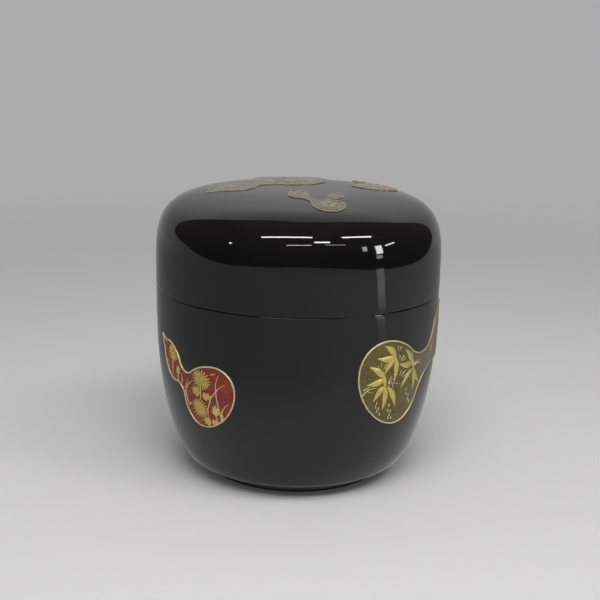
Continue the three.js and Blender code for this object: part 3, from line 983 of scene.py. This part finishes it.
# Painted reflection: the dark sheet's dim glow from the floor up
DARK_REFLECTION_SHADES = [
    (0, (0.05, 0.048, 0.046)), (0.15, (0.06, 0.056, 0.052)), (0.4, (0.1, 0.092, 0.085)),
    (0.8, (0.11, 0.098, 0.092)), (1, (0.16, 0.145, 0.135)),
]
# Painted reflection of the floor: where its glow covers and clears by distance from the middle, and its shades by
# bearing, darker behind and palest to the right as the floor is shaded and lit
FLOOR_REFLECTION_NEAR, FLOOR_REFLECTION_THINS, FLOOR_REFLECTION_OPENS, FLOOR_REFLECTION_CLOSES = foot_radius, 0.027, 0.034, 0.045
FLOOR_REFLECTION_FULL, FLOOR_REFLECTION_FADES, FLOOR_REFLECTION_FAR = 0.1, 0.25, 0.62
FLOOR_REFLECTION_SHADES = [
    (0, 0.36), (0.15, 0.42), (0.25, 0.45), (0.34, 0.57), (0.46, 0.54), (0.52, 0.47), (0.58, 0.34),
    (0.65, 0.26), (0.75, 0.3), (0.9, 0.27), (1, 0.36),
]
# Painted highlight: the glowing card's bearing, width and reach, and its glow, brighter than white far out
HIGHLIGHT_CARD_BEARING, HIGHLIGHT_CARD_HALF_ANGLE = 63.4, 3.3
HIGHLIGHT_CARD_NEAR, HIGHLIGHT_CARD_FAR = 0.09, 0.42
HIGHLIGHT_CARD_SHADES = [
    (HIGHLIGHT_CARD_NEAR, (0.62, 0.63, 0.64)), (0.16, (0.75, 0.76, 0.77)), (0.22, (1.6, 1.62, 1.65)),
    (HIGHLIGHT_CARD_FAR, (1.75, 1.75, 1.77)),
]
SOFT_LAMP_AIM = Vector((0, 0, 0.02))
STRIP_DISTANCE = 0.7
CAMERA_PLACE = Vector((0.583, -239.548, 98.166)) * MM
CAMERA_LENS, CAMERA_SENSOR = 62.72, 36
CAMERA_DIP, CAMERA_ROLL = 13.819, 1.327


def direction(azimuth, elevation):
    """A direction from the caddy. Azimuth 0 is in front, and grows to the right."""
    a, e = radians(azimuth), radians(elevation)
    return Vector((sin(a) * cos(e), -cos(a) * cos(e), sin(e)))


def towards(azimuth, elevation, distance):
    return Vector((0, 0, LID_FRONT)) + direction(azimuth, elevation) * distance


def glow_by_height(name, stops, top):
    """An emission that runs through greys from the floor up to a height."""
    look = Finish(name)
    height = look.add("SeparateXYZ", look.place).outputs["Z"]
    climb = look.add("MapRange", height, **{"From Max": top}).outputs["Result"]
    look.surface(look.glow(look.ramp(climb, stops)))
    return look


def for_gloss_only(piece, look):
    """Only the gloss of the caddy sees this piece of the studio, so what it shows is painted reflection."""
    piece.data.materials.append(look.material)
    piece.visible_camera = False
    piece.visible_diffuse = False
    piece.visible_shadow = False
    piece.visible_transmission = False


def lay_floor():
    bpy.ops.mesh.primitive_circle_add(vertices=96, radius=FLOOR_RADIUS, fill_type="NGON")
    floor = just_added("floor")
    look = Finish("pale_floor")
    look.set_shader({
        "Base Color": (FLOOR_COLOUR, FLOOR_COLOUR * 0.995, FLOOR_COLOUR * 0.985, 1),
        "Roughness": 0.9, "Specular IOR Level": 0.1,
    })
    fade = look.add("MapRange", look.reach(), interpolation_type="SMOOTHSTEP", **{
        "From Min": FLOOR_FADES, "From Max": FLOOR_GONE})
    glow = look.add("Emission", Color=(SURROUND, SURROUND, SURROUND, 1))
    look.blend(fade.outputs["Result"], look.shader.outputs["BSDF"], glow.outputs["Emission"])
    floor.data.materials.append(look.material)


def light_surround():
    world = bpy.data.worlds.new("pale_surround")
    bpy.context.scene.world = world
    world.use_nodes = True
    background = world.node_tree.nodes["Background"]
    background.inputs["Color"].default_value = (SURROUND, SURROUND, SURROUND * 1.01, 1)
    background.inputs["Strength"].default_value = 1


def hang_reflected_ceiling():
    """A painted reflection seen only in the gloss: a glowing dome over everything, palest high up."""
    bpy.ops.mesh.primitive_uv_sphere_add(segments=48, ring_count=24, radius=CEILING_DISTANCE)
    ceiling = just_added("painted_ceiling_reflection")
    edit_all()
    bpy.ops.mesh.bisect(plane_co=(0, 0, CEILING_FOOT), plane_no=(0, 0, 1), clear_inner=True)
    bpy.ops.object.mode_set(mode="OBJECT")
    for_gloss_only(ceiling, glow_by_height("painted_ceiling_reflection", REFLECTED_CEILING_SHADES, CEILING_DISTANCE))


def hang_dark_reflection():
    """A painted dark reflection seen only in the gloss: a dimly glowing sheet in front of the caddy, from the pale
    floor's edge to over the top.
    """
    edge = [direction(*corner) for corner in FLAG_CORNERS]
    round_edge = through(edge + edge[:1])
    middle = direction(*FLAG_MIDDLE)
    bpy.ops.mesh.primitive_grid_add(x_subdivisions=120, y_subdivisions=12, size=1)
    flag = just_added("painted_dark_reflection")
    for vertex in flag.data.vertices:
        ray = middle.lerp(round_edge(vertex.co.x + 0.5).normalized(), vertex.co.y + 0.5).normalized()
        distance = FLAG_DISTANCE
        if ray.z < 0:
            distance = min(distance, (LID_FRONT - FLAG_CLEARANCE) / -ray.z)
        vertex.co = Vector((0, 0, LID_FRONT)) + ray * distance
    for_gloss_only(flag, glow_by_height("painted_dark_reflection", DARK_REFLECTION_SHADES, FLAG_DISTANCE))


def floor_point(bearing, near, far, share, height):
    reach = near + (far - near) * share
    ray = direction(bearing, 0)
    return ray.x * reach, ray.y * reach, height


def lay_floor_reflection():
    """Painted reflection of the floor, seen only in the gloss: shaded behind, lit to the right, glowing right at
    the foot over its real shadow, open just beyond.
    """
    bpy.ops.mesh.primitive_grid_add(x_subdivisions=96, y_subdivisions=6, size=1)
    floor_reflection = just_added("painted_floor_reflection")
    for vertex in floor_reflection.data.vertices:
        x, y, _ = vertex.co
        vertex.co = floor_point(360 * x, FLOOR_REFLECTION_NEAR, FLOOR_REFLECTION_FAR, y + 0.5, FLAG_CLEARANCE / 10)
    look = Finish("painted_floor_reflection")
    turn = look.add("TexGradient", look.place, gradient_type="RADIAL").outputs["Fac"]
    cover = look.ramp(look.reach(), [
        (FLOOR_REFLECTION_NEAR, 1), (FLOOR_REFLECTION_THINS, 0.7), (FLOOR_REFLECTION_OPENS, 0), (FLOOR_REFLECTION_CLOSES, 0), (FLOOR_REFLECTION_FULL, 1), (FLOOR_REFLECTION_FADES, 1),
        (FLOOR_REFLECTION_FAR, 0),
    ])
    clear = look.add("BsdfTransparent").outputs["BSDF"]
    look.blend(cover, clear, look.glow(look.ramp(turn, FLOOR_REFLECTION_SHADES)))
    for_gloss_only(floor_reflection, look)


def lay_highlight_card():
    """A painted highlight seen only in the gloss: a card on the floor to the right, glowing brighter than white, an
    upright band in the lacquer.
    """
    bpy.ops.mesh.primitive_grid_add(x_subdivisions=12, y_subdivisions=2, size=1)
    highlight_card = just_added("painted_highlight_card")
    for vertex in highlight_card.data.vertices:
        x, y, _ = vertex.co
        bearing = HIGHLIGHT_CARD_BEARING + HIGHLIGHT_CARD_HALF_ANGLE * 2 * y
        vertex.co = floor_point(bearing, HIGHLIGHT_CARD_NEAR, HIGHLIGHT_CARD_FAR, x + 0.5, 2 * FLAG_CLEARANCE)
    look = Finish("painted_highlight_card")
    look.surface(look.glow(look.ramp(look.reach(), HIGHLIGHT_CARD_SHADES)))
    for_gloss_only(highlight_card, look)


def area_lamp(name, shape, size):
    data = bpy.data.lights.new(name, "AREA")
    data.shape = shape
    data.size = size
    lamp = bpy.data.objects.new(name, data)
    bpy.context.scene.collection.objects.link(lamp)
    lamp.visible_camera = False
    return lamp, data


def soft_lamp(name, place, size, power):
    """A square soft box that the gloss doesn't mirror."""
    lamp, data = area_lamp(name, "SQUARE", size)
    data.energy = power
    lamp.location = place
    lamp.rotation_euler = (SOFT_LAMP_AIM - lamp.location).to_track_quat("-Z", "Y").to_euler()
    lamp.visible_glossy = False


def strip_lamp(name, start, end, breadth, radiance):
    """A tube lamp or a pane that the lacquer mirrors, between two directions from the caddy."""
    a, b = towards(*start, STRIP_DISTANCE), towards(*end, STRIP_DISTANCE)
    middle = (a + b) / 2
    facing = (towards(0, 0, 0) - middle).normalized()
    along = (b - a).normalized()
    up = facing.cross(along).normalized()
    lamp, data = area_lamp(name, "RECTANGLE", (b - a).length)
    data.size_y = breadth
    data.energy = radiance * pi * data.size * breadth
    turn = Matrix((along, up, -facing)).transposed().to_4x4()
    lamp.matrix_world = Matrix.Translation(middle) @ turn
    lamp.visible_diffuse = False


def place_camera():
    data = bpy.data.cameras.new("camera")
    data.lens = CAMERA_LENS
    data.sensor_width = CAMERA_SENSOR
    data.clip_start = 0.01
    camera = bpy.data.objects.new("camera", data)
    bpy.context.scene.collection.objects.link(camera)
    pitch, roll = radians(90 - CAMERA_DIP), radians(CAMERA_ROLL)
    turn = Matrix.Rotation(pitch, 4, "X") @ Matrix.Rotation(roll, 4, "Z")
    camera.matrix_world = Matrix.Translation(CAMERA_PLACE) @ turn
    bpy.context.scene.camera = camera


# ---- Making the caddy ----
DEEP_GOLD_PARTS = ("flowers", "leaves", "buds")


def make_caddy():
    black, satin, wood = polished_black_lacquer(), satin_inner_lacquer(), turned_wood()
    for piece, looks in zip((*turn_body(), *turn_lid()), (
        ("body", "black_lacquer", black, "body_outer_lacquer"),
        ("body", "black_lacquer", black, "foot_lacquer"),
        ("body", "inner_lacquer", satin, "body_inner_lacquer"),
        ("body", "turned_wood", wood, "body_wood_core"),
        ("lid", "black_lacquer", black, "lid_outer_lacquer"),
        ("lid", "inner_lacquer", satin, "lid_inner_lacquer"),
        ("lid", "turned_wood", wood, "lid_wood_core"),
    )):
        finish_piece(piece, *looks)

    fields = {
        ("body", "red"): mottled_red_lacquer("mottled_red_lacquer", RED_SHADES, 0.3),
        ("lid", "red"): under_clear_lacquer(
            mottled_red_lacquer("coated_red_lacquer", COATED_RED_SHADES, 0.2)),
        ("body", "olive"): dusted_olive_lacquer("dusted_olive_lacquer", OLIVE_SHADES, 0.55),
        ("lid", "olive"): under_clear_lacquer(
            dusted_olive_lacquer("coated_olive_lacquer", COATED_OLIVE_SHADES, 0.68)),
    }
    golds = {
        ("body", False): gold_powder("gold_powder_line", (0.82, 0.7, 0.39), (0.6, 0.5, 0.26), 0.42, 0.6),
        ("body", True): gold_powder("gold_powder_brushwork", (0.75, 0.6, 0.18), (0.5, 0.38, 0.1), 0.4, 0.75),
        ("lid", False): under_clear_lacquer(
            gold_powder("coated_gold_line", (0.25, 0.225, 0.145), (0.17, 0.155, 0.1), 0.46, 0.2)),
        ("lid", True): under_clear_lacquer(
            gold_powder("coated_gold_brushwork", (0.26, 0.2, 0.11), (0.18, 0.14, 0.075), 0.46, 0.2)),
    }
    model_brushes()
    for name, gourd in GOURDS.items():
        half, lacquer = gourd["half"], gourd["lacquer"]
        field = fields[half, lacquer]
        finish_piece(make_field(name, gourd), half, lacquer + "_lacquer", field, name + "_field")
        finish_piece(make_gold_line(name, gourd), half, "gold_powder", golds[half, False], name + "_gold_line")
        for part, drawn in DRAWINGS[name]().items():
            piece = join_as(f"{name}_{part}", drawn, gourd)
            if part == "side_leaf":
                finish_piece(piece, half, lacquer + "_lacquer", field)
            else:
                finish_piece(piece, half, "gold_powder", golds[half, part in DEEP_GOLD_PARTS])
    put_brushes_away()


def light_and_frame():
    light_surround()
    lay_floor()
    hang_reflected_ceiling()
    hang_dark_reflection()
    lay_floor_reflection()
    lay_highlight_card()
    soft_lamp("front_softbox", (0.003, -0.155, 0.274), 0.16, 0.56)
    soft_lamp("right_softbox", (0.337, -0.196, 0.511), 0.15, 0.64)
    for lamp in (
        ("streak_left", (-33.7, 40), (12.8, 46), 0.034, 26),
        ("streak_right", (40.3, 42.3), (66.4, 35.0), 0.034, 26),
        ("streak_short", (13.2, 33.6), (26.2, 32.6), 0.034, 26),
        ("streak_thin", (-9.4, 26.0), (10.3, 27.2), 0.014, 15),
        ("streak_dim", (21.6, 27.2), (38.0, 25.0), 0.014, 7),
        ("window", (64.6, 5.4), (64.6, 16.4), 0.07, 16),
        ("window_sill", (64.0, 0.4), (64.0, 4.0), 0.065, 3.4),
        ("window_slat", (71.2, 14.4), (81, 15.8), 0.02, 18),
        ("small_window", (52.4, 11), (52.4, 18), 0.045, 7),
        ("spark", (-56, 18.6), (-54, 18.6), 0.02, 30),
    ):
        strip_lamp(*lamp)
    place_camera()


make_caddy()
light_and_frame()
bpy.context.scene.view_settings.view_transform = "Standard"
